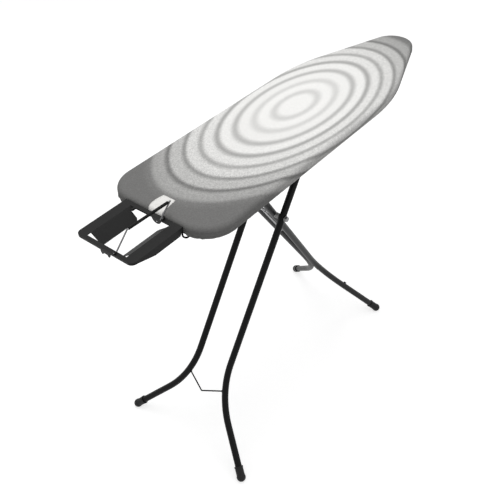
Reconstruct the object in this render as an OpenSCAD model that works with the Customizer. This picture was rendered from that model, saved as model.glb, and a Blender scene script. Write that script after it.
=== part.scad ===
/* [Board] */
// overall length of the padded top
board_len = 1246; // [1100:1:1350]
// overall width of the padded top
board_wid = 386; // [340:1:450]
// height of the padded top above the floor
top_z = 961; // [860:1:1000]
// depth of the edge, from the cover down to the rim
edge_depth = 30; // [24:1:40]
// length of the taper, from the point where the sides would meet it to the tip of the nose
taper_len = 388; // [300:1:460]
// radius that rounds the side into the taper
taper_r = 610; // [300:5:900]
// radius of the nose
nose_r = 73; // [50:1:110]
// radius of the two corners at the blunt end
corner_r = 89; // [60:1:120]
// thickness of the fabric cover
cover_t = 1.5; // [1:0.5:3]
// how far the hem of the cover ends above the lower edge of the rim
cover_short = 1; // [0.5:0.5:8]
// how much higher the hem sits over the iron rest
cover_lift = 8; // [4:1:12]
// thickness of the felt pad
pad_t = 5; // [3:0.5:8]
// thickness of the sheet steel
sheet_t = 1.5; // [1:0.5:2.5]
// thickness of the pierced panel that carries the pad
panel_t = 1; // [0.8:0.1:2]
// radius of the holes in the panel
hole_r = 14; // [8:1:18]

/* [Legs] */
// outer diameter of the leg tubes
tube_d = 22; // [18:1:25]
// wall of the leg tubes
tube_wall = 1.5; // [1:0.5:2]
// depth of the leg pivots below the top of the board
pivot_drop = 50; // [45:1:60]
// distance of the fixed pivot from the blunt end
fixed_x = 296; // [280:1:320]
// distance of the sliding axle from the blunt end, with the board up
slide_x = 599; // [580:1:620]
// lean of the outer legs from the vertical
outer_tilt = 35.66; // [33:0.1:38]
// lean of the inner legs from the vertical
inner_tilt = 32.03; // [30:0.1:35]
// centre distance of the outer tubes
outer_gap = 131; // [125:1:150]
// distance down the outer legs at which they start to splay
outer_bend_at = 790; // [740:1:820]
// bend radius of the outer legs
outer_bend_r = 295; // [200:5:350]
// splay of the outer legs
outer_splay = 40; // [30:1:45]
// distance down the outer legs at which the brace's ends sit
outer_brace_at = 886; // [850:1:910]
// how far the middle of the outer brace lies below its ends
outer_brace_dip = 35; // [20:1:50]
// centre distance of the inner tubes at the top
inner_gap_top = 88; // [80:1:90]
// centre distance of the inner tubes where they come together
inner_gap_low = 23.6; // [23:0.1:40]
// distance down the inner legs at which they start to splay
inner_bend_at = 690; // [640:1:740]
// bend radius of the inner legs
inner_bend_r = 346; // [200:2:360]
// splay of the inner legs
inner_splay = 38.8; // [30:0.1:45]
// distance down the inner legs at which the brace's ends sit
inner_brace_at = 796; // [770:1:820]
// how far the middle of the inner brace lies below its ends
inner_brace_dip = 28; // [15:1:40]
// distance down the inner legs at which the bright wire ends
stay_at = 430; // [410:1:480]
// height of the tube ends' centres above the floor
foot_z = 12; // [10:0.5:16]
// diameter of the foot caps
foot_d = 27; // [25:0.5:32]

/* [Joints] */
// radius of the crossing pin
pin_r = 5; // [4:0.5:6]
// radius of the leg axles
axle_r = 6; // [5:0.5:8]
// running clearance of the pins in their bores
run_c = 0.05; // [0.02:0.01:0.1]
// radius of the rollers in the rails
roller_r = 9; // [8:0.5:10]
// clearance of the rollers in the rail slot
slot_c = 2.6; // [2:0.1:4]
// depth of the release lever below its pin
lever_drop = 32; // [28:1:40]

/* [Iron rest] */
// reach of the iron rest beyond the blunt end
rest_reach = 171; // [140:1:200]
// half width of the iron rest
rest_half = 101; // [80:1:110]
// how far the iron rest sits off the middle of the board
rest_shift = -3; // [-8:1:8]
// depth of the iron rest's rim below the top of the board
rest_drop = 3; // [2:1:10]
// half distance between the inner edges of the two wings
wing_in = 35; // [25:0.5:45]
// half distance between the folds of the two wings
wing_out = 70; // [60:1:80]
// how far the wings dip towards the middle
wing_dip = 24; // [10:1:30]
// depth of the side walls
wall_deep = 22; // [12:1:30]
// radius of the wire loops beside the rest
hook_r = 12; // [8:1:14]
// radius of the bail's wire
bail_r = 2; // [1.5:0.1:2.5]
// radius of the bail's sleeve
sleeve_r = 3.9; // [3:0.1:5]

/* [Hidden] */
$fn = 40;

x_mid = (board_len - rest_reach) / 2;
taper_x = board_len - taper_len;
tr = tube_d / 2;
// the straight end of a leg tube is a hair stouter than its bend, so that it closes over the bent length
swell = 0.03;
pivot_z = top_z - pivot_drop;
pad_top = top_z - cover_t;
panel_top = pad_top - pad_t;
panel_z = panel_top - panel_t;
rim_z = top_z - edge_depth;
cover_drop = edge_depth - cover_short;
rim_in = 3;
seat_c = 0.3;
panel_land = 31;
lip_w = 18;
hole_pitch = 2.2 * hole_r + panel_land;
hole_x0 = corner_r + hole_pitch / 2;
hole_rows = floor((board_len - hole_x0) / hole_pitch);
bar_h = 16;
bar_z = panel_z - bar_h;
bar_w = 30;
outer_len = (pivot_z - foot_z) / cos(outer_tilt);
inner_len = (pivot_z - foot_z) / cos(inner_tilt);
// where the legs cross, measured down each leg from its own pivot
cross_o = (slide_x - fixed_x) / (sin(outer_tilt) + cos(outer_tilt) * tan(inner_tilt));
cross_i = cross_o * cos(outer_tilt) / cos(inner_tilt);
cross_x = slide_x - cross_o * sin(outer_tilt);
cross_z = pivot_z - cross_o * cos(outer_tilt);
inner_in = atan((inner_gap_top - inner_gap_low) / 2 / inner_bend_at);
inner_y_cross = inner_gap_top / 2 - cross_i * tan(inner_in);
// the slot that the outer axle runs in
slide_end = fixed_x + 2 * cross_o - 12;
slot_x0 = slide_x - 16;
slot_x1 = slide_end + 16;
ear_y = inner_gap_top / 2 + tr + 4;
ear_t = 3;
rail_y = outer_gap / 2 + tr + 15.5;
rail_t = 3;
rail_x0 = slot_x0 - 14;
rail_x1 = slot_x1 + 14;
rail_low = pivot_z - roller_r - slot_c - 13;
rest_z = top_z - rest_drop;
rest_back = -2;
rest_r = 16;
front_bar = 12;
back_bar = 13;
lip_h = 6;
bracket_y = 83;
bracket_w = 12;
bail_y = -42;
lug_r = 3.5;
lug_w = 4.5;
bail_z = rest_z + lug_r;
// the ends of the bail's wire on the rest, and the two ends of its raised length
front_foot = [-rest_reach + 11, bail_y, bail_z];
back_foot = [rest_back - back_bar - 1, bail_y, bail_z];
bail_a = [-118, bail_y, rest_z + 41];
bail_b = [24, bail_y, rest_z + 36];
lever_x = (rail_x0 + rail_x1) / 2 - 60;
lever_y = -rail_y - 24;
lever_z = bar_z - 8;

module in_frame() translate([-x_mid, 0, 0]) children();

function arc(c, r, from, to, n) =
  [for (i = [0:n]) let (t = from + (to - from) * i / n) c + r * [cos(t), sin(t)]];
// board outline, inset by d on every side: corner, side, rounding into the taper, nose, and back again
module outline(d = 0) {
  w = board_wid / 2;
  a = taper_angle();
  side = concat(
    arc([corner_r, w - corner_r], corner_r - d, 180, 90, 24),
    arc([taper_x - taper_r * tan(a / 2), w - taper_r], taper_r - d, 90, 90 - a, 10),
    arc([board_len - nose_r, 0], nose_r - d, 90 - a, 0, 24));
  polygon(concat(side, [for (i = [len(side) - 2:-1:0]) [side[i][0], -side[i][1]]]));
}
// the taper line touches both the side's rounding and the nose
function taper_angle(a = 20, i = 0) = i > 30 ? a :
  let (
    fx = taper_x - taper_r * tan(a / 2),
    dx = board_len - nose_r - fx,
    dy = taper_r - board_wid / 2,
    l = sqrt(dx * dx + dy * dy)
  ) taper_angle(asin((taper_r - nose_r) / l) - atan2(dy, dx), i + 1);
// half width of the top at distance x
function half_w(x) = let (a = taper_angle(), fx = taper_x - taper_r * tan(a / 2), w = board_wid / 2)
  x < fx ? w :
  x < fx + taper_r * sin(a) ? w - taper_r + sqrt(taper_r * taper_r - (x - fx) * (x - fx)) :
  w - (x - taper_x) * tan(a);

module rod(p, q, r) {
  v = q - p;
  l = norm(v);
  translate(p) rotate([0, acos(v[2] / l), atan2(v[1], v[0])]) cylinder(r = r, h = l);
}
// upright bore or shaft along Y through point (x, z)
module along_y(x, z, r, y0, y1) translate([x, y0, z]) rotate([-90, 0, 0]) cylinder(r = r, h = y1 - y0);
module along_x(y, z, r, x0, x1) translate([x0, y, z]) rotate([0, 90, 0]) cylinder(r = r, h = x1 - x0);

// the path of one leg tube in the leg's own plane, running down from its pivot, as a solid rod of radius r
module leg_path(y0, heading, s1, br, splay, len, r, extra = 0) {
  y1 = y0 - s1 * tan(heading);
  l1 = s1 / cos(heading) + 13 + extra;
  turn = splay + heading;
  l2 = (len - s1 - br * (sin(heading) + sin(splay))) / cos(splay) - 4 + extra;
  translate([0, y1, -s1]) rotate([-heading, 0, 0]) {
    cylinder(r = r, h = l1);
    translate([0, br, 0]) rotate([-90, 0, 0]) rotate([0, 90, 0])
      rotate_extrude(angle = turn, $fn = 90) translate([br, 0]) circle(r = r);
    translate([0, br - br * cos(turn), -br * sin(turn)]) rotate([180 + turn, 0, 0])
      translate([0, 0, -1]) cylinder(r = r + swell, h = l2 + 1);
  }
}
module leg_tube(y0, heading, s1, br, splay, len) difference() {
  leg_path(y0, heading, s1, br, splay, len, tr);
  leg_path(y0, heading, s1, br, splay, len, tr - tube_wall, 1);
}
function foot_y(y0, heading, s1, br, splay, len) = y0 - s1 * tan(heading)
  + br * (cos(heading) - cos(splay)) + (len - s1 - br * (sin(heading) + sin(splay))) * tan(splay);
outer_foot_y = foot_y(outer_gap / 2, 0, outer_bend_at, outer_bend_r, outer_splay, outer_len);
inner_foot_y = foot_y(inner_gap_top / 2, inner_in, inner_bend_at, inner_bend_r, inner_splay, inner_len);

module outer_place() translate([slide_x, 0, pivot_z]) rotate([0, outer_tilt, 0]) children();
module inner_place() translate([fixed_x, 0, pivot_z]) rotate([0, -inner_tilt, 0]) children();

module outer_tube() difference() {
  leg_tube(outer_gap / 2, 0, outer_bend_at, outer_bend_r, outer_splay, outer_len);
  along_y(0, 0, axle_r, 0, 200);
  along_y(0, -cross_o, pin_r + run_c, 0, 200);
}
module inner_tube() difference() {
  leg_tube(inner_gap_top / 2, inner_in, inner_bend_at, inner_bend_r, inner_splay, inner_len);
  along_y(0, 0, axle_r, 0, 200);
  along_y(0, -cross_i, pin_r, 0, 200);
}
module foot_cap(y, splay, len) translate([0, y, -len]) rotate([180 + splay, 0, 0]) difference() {
  union() {
    translate([0, 0, -34]) cylinder(r = foot_d / 2, h = 34);
    translate([0, 0, -34]) cylinder(r = foot_d / 2 + 1, h = 4);
    sphere(r = foot_d / 2 + 1.5);
  }
  translate([0, 0, -35]) cylinder(r = tr + swell, h = 31);
}
module above_floor() intersection() {
  children();
  translate([-board_len, -board_wid, 0]) cube([3 * board_len, 2 * board_wid, top_z / 2]);
}

// ---- the top ----
module cover() color("#9a9a98") in_frame() difference() {
  translate([0, 0, top_z - cover_drop]) linear_extrude(cover_drop) outline(0);
  translate([0, 0, top_z - cover_drop - 1]) linear_extrude(cover_drop + 1 - cover_t) outline(rim_in - seat_c);
  // the hem is drawn up where the iron rest meets the board
  translate([-1, corner_r + 1 - board_wid / 2, top_z - cover_drop - 1])
    cube([rim_in + 1, board_wid - 2 * corner_r - 2, cover_lift + 1]);
}
module pad() color("#e8e6e0") in_frame() translate([0, 0, panel_top]) linear_extrude(pad_t) outline(rim_in);
module top_panel() color("#3a3a3c") in_frame()
translate([0, 0, panel_z]) linear_extrude(panel_t) difference() {
  outline(rim_in);
  for (i = [0:hole_rows - 1], j = [-2:2]) {
    x = hole_x0 + i * hole_pitch + (j % 2 == 0 ? 0 : hole_pitch / 2);
    if (x < board_len - nose_r && abs(j) * hole_pitch < half_w(x) - lip_w - hole_r)
      translate([x, j * hole_pitch]) circle(r = hole_r, $fn = 24);
  }
}
module edge_rim() color("#1c1c1e") in_frame() {
  translate([0, 0, rim_z]) linear_extrude(panel_z - rim_z) difference() {
    outline(rim_in);
    outline(rim_in + sheet_t);
  }
  translate([0, 0, rim_z]) linear_extrude(sheet_t) difference() {
    outline(rim_in + sheet_t);
    outline(rim_in + lip_w);
  }
}
// channel across the board, open below
module cross_bar(x) {
  l = 2 * (min(half_w(x - bar_w / 2), half_w(x + bar_w / 2)) - rim_in - sheet_t - seat_c);
  in_frame() translate([x - bar_w / 2, -l / 2, bar_z]) difference() {
    cube([bar_w, l, bar_h]);
    translate([sheet_t, -1, -1]) cube([bar_w - 2 * sheet_t, l + 2, bar_h + 1 - sheet_t]);
  }
}
module bar_rear() color("#1c1c1e") cross_bar(corner_r + bar_w / 2 + 2);
module bar_pivot() color("#1c1c1e") cross_bar(fixed_x);
module bar_slide_rear() color("#1c1c1e") cross_bar(rail_x0 + bar_w / 2);
module bar_slide_front() color("#1c1c1e") cross_bar(rail_x1 - bar_w / 2);

// ears that carry the inner legs' axle
module pivot_bracket() color("#1c1c1e") in_frame() difference() {
  union() {
    translate([fixed_x - 28, -ear_y - ear_t, bar_z - 2]) cube([56, 2 * (ear_y + ear_t), 2]);
    for (s = [0, 1]) mirror([0, s, 0]) {
      translate([fixed_x - 14, ear_y, pivot_z]) cube([28, ear_t, bar_z - 2 - pivot_z]);
      along_y(fixed_x, pivot_z, 14, ear_y, ear_y + ear_t);
      translate([fixed_x - 28, ear_y - 1, bar_z - 6]) cube([56, 1, 4]);
    }
  }
  along_y(fixed_x, pivot_z, axle_r + run_c, -ear_y - 11, ear_y + 11);
  for (s = [-1, 1]) translate([fixed_x, s * 36, bar_z - 5]) cylinder(r = 3.1, h = 8);
}
module rail() {
  h = bar_z - rail_low;
  difference() {
    union() {
      translate([rail_x0, rail_y, rail_low]) cube([rail_x1 - rail_x0, rail_t, h]);
      translate([rail_x0, rail_y, bar_z - 2]) cube([rail_x1 - rail_x0, 34, 2]);
    }
    for (x = [slot_x0, slot_x1]) along_y(x, pivot_z, roller_r + slot_c, rail_y - 1, rail_y + rail_t + 1);
    translate([slot_x0, rail_y - 1, pivot_z - roller_r - slot_c])
      cube([slot_x1 - slot_x0, rail_t + 2, 2 * (roller_r + slot_c)]);
    for (i = [0:7])
      along_y(slide_x + 10 + 29 * i, pivot_z - roller_r - slot_c, 4, rail_y - 1, rail_y + rail_t + 1);
  }
}
module rail_left() color("#232325") in_frame() rail();
module rail_right() color("#232325") in_frame() mirror([0, 1, 0]) rail();
module rail_rivets() color("#b9bbbd") in_frame()
  for (x = [rail_x0 + bar_w / 2, rail_x1 - bar_w / 2], s = [-1, 1])
    translate([x, s * (rail_y + 19), bar_z - 5]) cylinder(r = 5, h = 3);
module lever_bracket() color("#232325") in_frame() difference() {
  for (x = [lever_x, lever_x + 112]) {
    translate([x, lever_y - 6, lever_z]) cube([3, 12, bar_z - 2 - lever_z]);
    along_x(lever_y, lever_z, 6, x, x + 3);
  }
  along_x(lever_y, lever_z, 3, lever_x - 5, lever_x + 120);
}
module lever_pin() color("#b9bbbd") in_frame() along_x(lever_y, lever_z, 3, lever_x - 3, lever_x + 118);
module release_lever() color("#2a2a2c") in_frame() difference() {
  union() {
    along_x(lever_y, lever_z, 5.2, lever_x + 8, lever_x + 107);
    translate([lever_x + 18, lever_y - 1, lever_z - lever_drop]) cube([80, 2, lever_drop]);
    translate([lever_x + 18, lever_y - 25, lever_z - lever_drop]) cube([80, 25, 2]);
  }
  along_x(lever_y, lever_z, 3 + run_c, lever_x, lever_x + 120);
  for (x = [34, 58, 82]) along_y(lever_x + x, lever_z - 17, 6, lever_y - 5, lever_y + 5);
}
module lever_grip() color("#111112") in_frame() difference() {
  translate([lever_x + 14, lever_y - 42, lever_z - lever_drop - 4]) cube([88, 30, 9]);
  translate([lever_x + 18, lever_y - 25, lever_z - lever_drop]) cube([80, 40, 2]);
}

// ---- outer legs ----
module outer_tube_left() color("#1a1a1c") in_frame() outer_place() outer_tube();
module outer_tube_right() color("#1a1a1c") in_frame() outer_place() mirror([0, 1, 0]) outer_tube();
module outer_axle() color("#b9bbbd") in_frame()
  along_y(slide_x, pivot_z, axle_r, -(rail_y + rail_t + 8), rail_y + rail_t + 8);
module rail_rollers() color("#e4e2dc") in_frame() for (s = [0, 1]) mirror([0, s, 0]) difference() {
  union() {
    along_y(slide_x, pivot_z, roller_r, rail_y - 4, rail_y + rail_t + 6);
    along_y(slide_x, pivot_z, roller_r + 4.5, rail_y - 4, rail_y - 1);
    along_y(slide_x, pivot_z, roller_r + 4.5, rail_y + rail_t + 1, rail_y + rail_t + 4);
  }
  along_y(slide_x, pivot_z, axle_r, rail_y - 10, rail_y + 20);
}
module outer_brace() color("#1a1a1c") in_frame() outer_place() {
  s = outer_brace_at;
  t = asin((s - outer_bend_at) / outer_bend_r);
  y = outer_gap / 2 + outer_bend_r * (1 - cos(t)) - (tr - 1) / cos(t);
  for (side = [-1, 1]) rod([-tr, 0, -s - outer_brace_dip], [-2, side * y, -s], 2.3);
}
module outer_foot_left() color("#131314") in_frame() above_floor()
  outer_place() foot_cap(outer_foot_y, outer_splay, outer_len);
module outer_foot_right() color("#131314") in_frame() above_floor()
  outer_place() mirror([0, 1, 0]) foot_cap(outer_foot_y, outer_splay, outer_len);

// ---- inner legs ----
module inner_tube_left() color("#3c3c3e") in_frame() inner_place() inner_tube();
module inner_tube_right() color("#3c3c3e") in_frame() inner_place() mirror([0, 1, 0]) inner_tube();
module inner_axle() color("#b9bbbd") in_frame() along_y(fixed_x, pivot_z, axle_r, -ear_y - 11, ear_y + 11);
module inner_axle_caps() color("#131314") in_frame() for (s = [0, 1]) mirror([0, s, 0]) difference() {
  union() {
    along_y(fixed_x, pivot_z, 10, ear_y + 4, ear_y + 10);
    along_y(fixed_x, pivot_z, 8, ear_y + 10, ear_y + 12);
  }
  along_y(fixed_x, pivot_z, axle_r, ear_y, ear_y + 11);
}
module inner_brace() color("#3c3c3e") in_frame() inner_place() {
  s = inner_brace_at;
  t = asin((s - inner_bend_at - inner_bend_r * sin(inner_in)) / inner_bend_r);
  y = inner_gap_low / 2 + inner_bend_r * (cos(inner_in) - cos(t)) - (tr - 1) / cos(t);
  for (side = [-1, 1]) rod([-3, 0, -s - inner_brace_dip], [0, side * y, -s], 2);
}
// thin bright wire that runs down between the inner tubes, under the crossing pin
module stay_wire() color("#b9bbbd") in_frame() inner_place() {
  rod([-axle_r - 2, 0, 2], [-pin_r - 2, 0, -cross_i], 2);
  translate([-pin_r - 2, 0, -cross_i]) sphere(r = 2.06, $fn = 24);
  rod([-pin_r - 2, 0, -cross_i], [-3, 5, -stay_at], 2);
  translate([-3, 5, -stay_at]) sphere(r = 2.06, $fn = 24);
  rod([-3, 5, -stay_at], [-3, inner_gap_top / 2 - stay_at * tan(inner_in) - tr + 1.2, -stay_at - 6], 2);
}
// plug on the upper side of the near inner leg
module tube_stud() color("#131314") in_frame() inner_place() {
  s = inner_len - 118;
  y = inner_foot_y - 118 * tan(inner_splay);
  translate([0, -y, -s]) rotate([0, 90, 0]) difference() {
    union() {
      cylinder(r = 6, h = tr + 3);
      translate([0, 0, tr + 3]) cylinder(r = 4.5, h = 2.5);
    }
    rotate([0, -90, 0]) rotate([-inner_splay, 0, 0]) cylinder(r = tr + swell, h = 40, center = true);
  }
}
module inner_foot_left() color("#131314") in_frame() above_floor()
  inner_place() foot_cap(inner_foot_y, inner_splay, inner_len);
module inner_foot_right() color("#131314") in_frame() above_floor()
  inner_place() mirror([0, 1, 0]) foot_cap(inner_foot_y, inner_splay, inner_len);

// ---- crossing ----
cap_y = outer_gap / 2 + tr;
module crossing_pin() color("#b9bbbd") in_frame() along_y(cross_x, cross_z, pin_r, -cap_y - 7, cap_y + 7);
module crossing_spacers() color("#c4c5c6") in_frame() for (s = [0, 1]) mirror([0, s, 0]) difference() {
  along_y(cross_x, cross_z, 9, inner_y_cross + 6, outer_gap / 2 - tr - 0.4);
  translate([fixed_x, 0, pivot_z]) rotate([0, -inner_tilt, 0])
    translate([0, inner_y_cross, -cross_i]) rotate([-inner_in, 0, 0])
      cylinder(r = tr + 0.05, h = 60, center = true);
  along_y(cross_x, cross_z, pin_r, 0, 100);
}
module crossing_caps() color("#8f9193") in_frame() for (s = [0, 1]) mirror([0, s, 0]) difference() {
  union() {
    along_y(cross_x, cross_z, 10, cap_y + 0.4, cap_y + 2.4);
    along_y(cross_x, cross_z, 8, cap_y + 2.4, cap_y + 9);
  }
  along_y(cross_x, cross_z, pin_r, cap_y - 10, cap_y + 7);
}

// ---- iron rest ----
module rest_place() in_frame() translate([0, rest_shift, 0]) children();
// outline of the rest, inset by d: two rounded corners in front, square at the board
module rest_outline(d = 0) {
  x0 = rest_r - rest_reach;
  y0 = rest_half - rest_r;
  polygon(concat(
    arc([x0, y0], rest_r - d, 180, 90, 12),
    [[rest_back, rest_half - d], [rest_back, d - rest_half]],
    arc([x0, -y0], rest_r - d, 270, 180, 12)));
}
// rim of the iron rest with its turned-down front edge and side walls
module rest_frame() color("#2b2b2d") rest_place() {
  translate([0, 0, rest_z - sheet_t]) linear_extrude(sheet_t) difference() {
    rest_outline();
    translate([front_bar - rest_reach, -wing_out])
      square([rest_reach + rest_back - front_bar - back_bar, 2 * wing_out]);
  }
  // narrow web across the slot at the far rear corner
  translate([-24, 53, rest_z - sheet_t]) cube([24 + rest_back - back_bar + 1, 6, sheet_t]);
  translate([0, 0, rest_z - sheet_t - lip_h]) linear_extrude(lip_h) difference() {
    rest_outline();
    rest_outline(sheet_t);
    translate([rest_r - rest_reach, -board_wid]) square([rest_reach, 2 * board_wid]);
  }
  for (s = [0, 1]) mirror([0, s, 0]) translate([0, rest_half, 0]) rotate([90, 0, 0])
    linear_extrude(sheet_t) polygon([
      [rest_r - rest_reach, rest_z - sheet_t],
      [rest_r - rest_reach, rest_z - sheet_t - lip_h],
      [72 - rest_reach, rest_z - wall_deep],
      [rest_back - 12, rest_z - wall_deep],
      [rest_back, rest_z - sheet_t]]);
}
// one sloping wing, pressed down from the rim towards the middle
module rest_wing() {
  a = atan(wing_dip / (wing_out - wing_in));
  w = (wing_out - wing_in) / cos(a);
  x0 = front_bar + 11 - rest_reach;
  x1 = -31;
  difference() {
    translate([0, wing_out, rest_z]) rotate([180 + a, 0, 0]) {
      linear_extrude(sheet_t)
        polygon([[x0, 0], [x0, w - 6], [x0 + 6, w], [x1, w], [x1 + 5, w - 6], [x1 + 7, 7], [x1 + 13, 0]]);
      translate([x0 + 6, w - 1.5, 0]) cube([x1 - x0 - 6, 1.5, 5]);
    }
    translate([x0 - 1, wing_out, rest_z - 9]) cube([200, 9, 18]);
  }
}
module rest_wing_left() color("#2b2b2d") rest_place() rest_wing();
module rest_wing_right() color("#2b2b2d") rest_place() mirror([0, 1, 0]) rest_wing();
// angle brackets that hold the rest under the rim
module rest_brackets() color("#1c1c1e") in_frame()
  for (s = [-1, 1]) translate([rest_back, s * bracket_y - bracket_w / 2, 0]) {
    translate([-12, 0, rest_z - sheet_t - 2.5]) cube([10, bracket_w, 2.5]);
    translate([-4.5, 0, rim_z - 2.5]) cube([2.5, bracket_w, rest_z - sheet_t - rim_z + 2.5]);
    translate([-4.5, 0, rim_z - 2.5]) cube([26, bracket_w, 2.5]);
  }
module rest_screws() color("#8f9193") in_frame()
  for (s = [-1, 1]) translate([14, s * bracket_y, rim_z - 4.9]) difference() {
    cylinder(r = 4.5, h = 2.4);
    translate([-0.6, -4, -1]) cube([1.2, 8, 1.9]);
  }
// wire loops under the rear corners of the rest, turned outwards
module rest_hooks() color("#1a1a1c") rest_place() for (s = [0, 1]) mirror([0, s, 0])
  translate([rest_back + 5.5, rest_half + 3.5, rim_z - 2]) rotate([0, 0, 45]) {
    translate([-hook_r, 0, 0]) cylinder(r = 2.5, h = rest_z - sheet_t - rim_z + 2);
    rotate([-90, 0, 0]) rotate_extrude(angle = 180) translate([hook_r, 0]) circle(r = 2.5);
    translate([hook_r, 0, 0]) cylinder(r = 2.5, h = 2);
  }
// black clip with two prongs under the front edge
module rest_clip() color("#131314") rest_place()
  translate([1.5 - rest_reach, -19, rest_z - sheet_t - lip_h - 9]) {
    cube([3, 32, lip_h + 9]);
    for (y = [0, 23]) translate([0, y, 0]) rotate([90, 0, 90]) linear_extrude(3)
      polygon([[0, 0], [9, 0], [6, -6], [3, -6]]);
  }
// half-round tab under the rear edge
module rest_tab() color("#3a3a3c") rest_place() translate([rest_back - back_bar, -20.5, rest_z - sheet_t])
  rotate([90, 0, 90]) linear_extrude(2) difference() {
    circle(r = 16.5);
    translate([-20, 0]) square([40, 20]);
    translate([0, -10]) circle(r = 2.5);
  }

// ---- bail over the rest ----
module bail_lugs() color("#2b2b2d") in_frame() for (x = [2 - rest_reach, rest_back - 5.5]) difference() {
  union() {
    translate([x, bail_y - lug_r, rest_z]) cube([lug_w, 2 * lug_r, bail_z - rest_z]);
    along_x(bail_y, bail_z, lug_r, x, x + lug_w);
  }
  along_x(bail_y, bail_z, bail_r + 2 * run_c, x - 1, x + lug_w + 1);
}
module bail_wire() color("#b9bbbd") in_frame() {
  along_x(bail_y, bail_z, bail_r, 1 - rest_reach, front_foot[0]);
  along_x(bail_y, bail_z, bail_r, back_foot[0], rest_back - 0.5);
  for (p = [front_foot, bail_a, bail_b, back_foot]) translate(p) sphere(r = bail_r + 0.06, $fn = 24);
  rod(front_foot, bail_a, bail_r);
  rod(bail_a, bail_b, bail_r);
  rod(bail_b, back_foot, bail_r);
}
module bail_sleeve() color("#161617") in_frame() difference() {
  u = (bail_b - bail_a) / norm(bail_b - bail_a);
  rod(bail_a + 4 * u, bail_b - 8 * u, sleeve_r);
  rod(bail_a, bail_b, bail_r);
}

cover();
pad();
top_panel();
edge_rim();
bar_rear();
bar_pivot();
bar_slide_rear();
bar_slide_front();
pivot_bracket();
rail_left();
rail_right();
rail_rivets();
lever_bracket();
lever_pin();
release_lever();
lever_grip();
outer_tube_left();
outer_tube_right();
outer_axle();
rail_rollers();
outer_brace();
outer_foot_left();
outer_foot_right();
inner_tube_left();
inner_tube_right();
inner_axle();
inner_axle_caps();
inner_brace();
stay_wire();
tube_stud();
inner_foot_left();
inner_foot_right();
crossing_pin();
crossing_spacers();
crossing_caps();
rest_frame();
rest_wing_left();
rest_wing_right();
rest_brackets();
rest_screws();
rest_hooks();
rest_clip();
rest_tab();
bail_lugs();
bail_wire();
bail_sleeve();
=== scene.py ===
from math import asin, atan2, ceil, cos, exp, hypot, pi, radians, sin, tan

import bpy
from mathutils import Matrix, Vector, kdtree


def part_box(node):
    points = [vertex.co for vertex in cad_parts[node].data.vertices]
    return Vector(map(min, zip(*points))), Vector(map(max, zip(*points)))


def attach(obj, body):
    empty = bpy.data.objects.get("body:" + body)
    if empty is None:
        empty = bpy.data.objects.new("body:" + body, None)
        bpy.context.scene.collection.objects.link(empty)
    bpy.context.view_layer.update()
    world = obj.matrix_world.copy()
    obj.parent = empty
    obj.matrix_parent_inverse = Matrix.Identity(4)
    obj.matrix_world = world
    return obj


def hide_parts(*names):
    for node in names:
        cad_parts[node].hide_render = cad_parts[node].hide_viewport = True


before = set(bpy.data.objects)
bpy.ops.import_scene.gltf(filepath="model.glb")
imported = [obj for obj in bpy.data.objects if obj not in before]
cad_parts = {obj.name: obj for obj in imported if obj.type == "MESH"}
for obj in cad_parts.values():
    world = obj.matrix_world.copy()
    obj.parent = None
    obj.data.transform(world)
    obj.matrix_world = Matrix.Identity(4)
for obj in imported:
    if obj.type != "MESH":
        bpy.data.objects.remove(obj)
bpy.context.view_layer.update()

bpy.ops.object.select_all(action="DESELECT")


# ---- studio: camera, soft lamps, pale floor ----
# The board stands on a plain white floor under one broad lamp overhead and a weaker one from the side.
# The floor is white to the camera and to reflections, and keeps the soft shadow under the feet.
scene = bpy.context.scene
scene.view_settings.view_transform = "Standard"

camera_data = bpy.data.cameras.new("camera")
camera_data.lens = 46.86
camera_data.sensor_width = 36
camera_data.clip_end = 50
camera = bpy.data.objects.new("camera", camera_data)
camera.location = (-1.3519, -1.0494, 1.9379)
camera.rotation_euler = (radians(49.03), radians(3.38), radians(-50.87))
scene.collection.objects.link(camera)
scene.camera = camera


def lamp(name, place, aim, size, watts):
    """A round soft lamp at a place, turned towards the point that it aims at."""
    data = bpy.data.lights.new(name, "AREA")
    data.shape = "DISK"
    data.size = size
    data.energy = watts
    lit = bpy.data.objects.new(name, data)
    lit.location = place
    lit.rotation_euler = (Vector(aim) - Vector(place)).to_track_quat("-Z", "Y").to_euler()
    scene.collection.objects.link(lit)


lamp("overhead_lamp", place=(0.3, 0.3, 3.6), aim=(0.1, 0, 0.8), size=2.6, watts=46)
lamp("side_lamp", place=(0.2, -3.2, 2.3), aim=(0, 0, 0.7), size=1.8, watts=9)


def calc(nodes, links, operation, *values):
    """A maths node's result; each value is a number or the socket that gives it."""
    node = nodes.new("ShaderNodeMath")
    node.operation = operation
    for socket, value in zip(node.inputs, values):
        if isinstance(value, (int, float)):
            socket.default_value = value
        else:
            links.new(value, socket)
    return node.outputs[0]


def seen_directly(nodes, links):
    """1 for camera, glossy and transmitted rays, 0 for the light that falls on the object."""
    path = nodes.new("ShaderNodeLightPath")
    seen = calc(nodes, links, "MAXIMUM", path.outputs["Is Camera Ray"], path.outputs["Is Glossy Ray"])
    return calc(nodes, links, "MAXIMUM", seen, path.outputs["Is Transmission Ray"])


def surface(name):
    """A new material with its nodes, its links and its shader."""
    material = bpy.data.materials.new(name)
    material.use_nodes = True
    nodes, links = material.node_tree.nodes, material.node_tree.links
    return material, nodes, links, nodes["Principled BSDF"]


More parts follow.
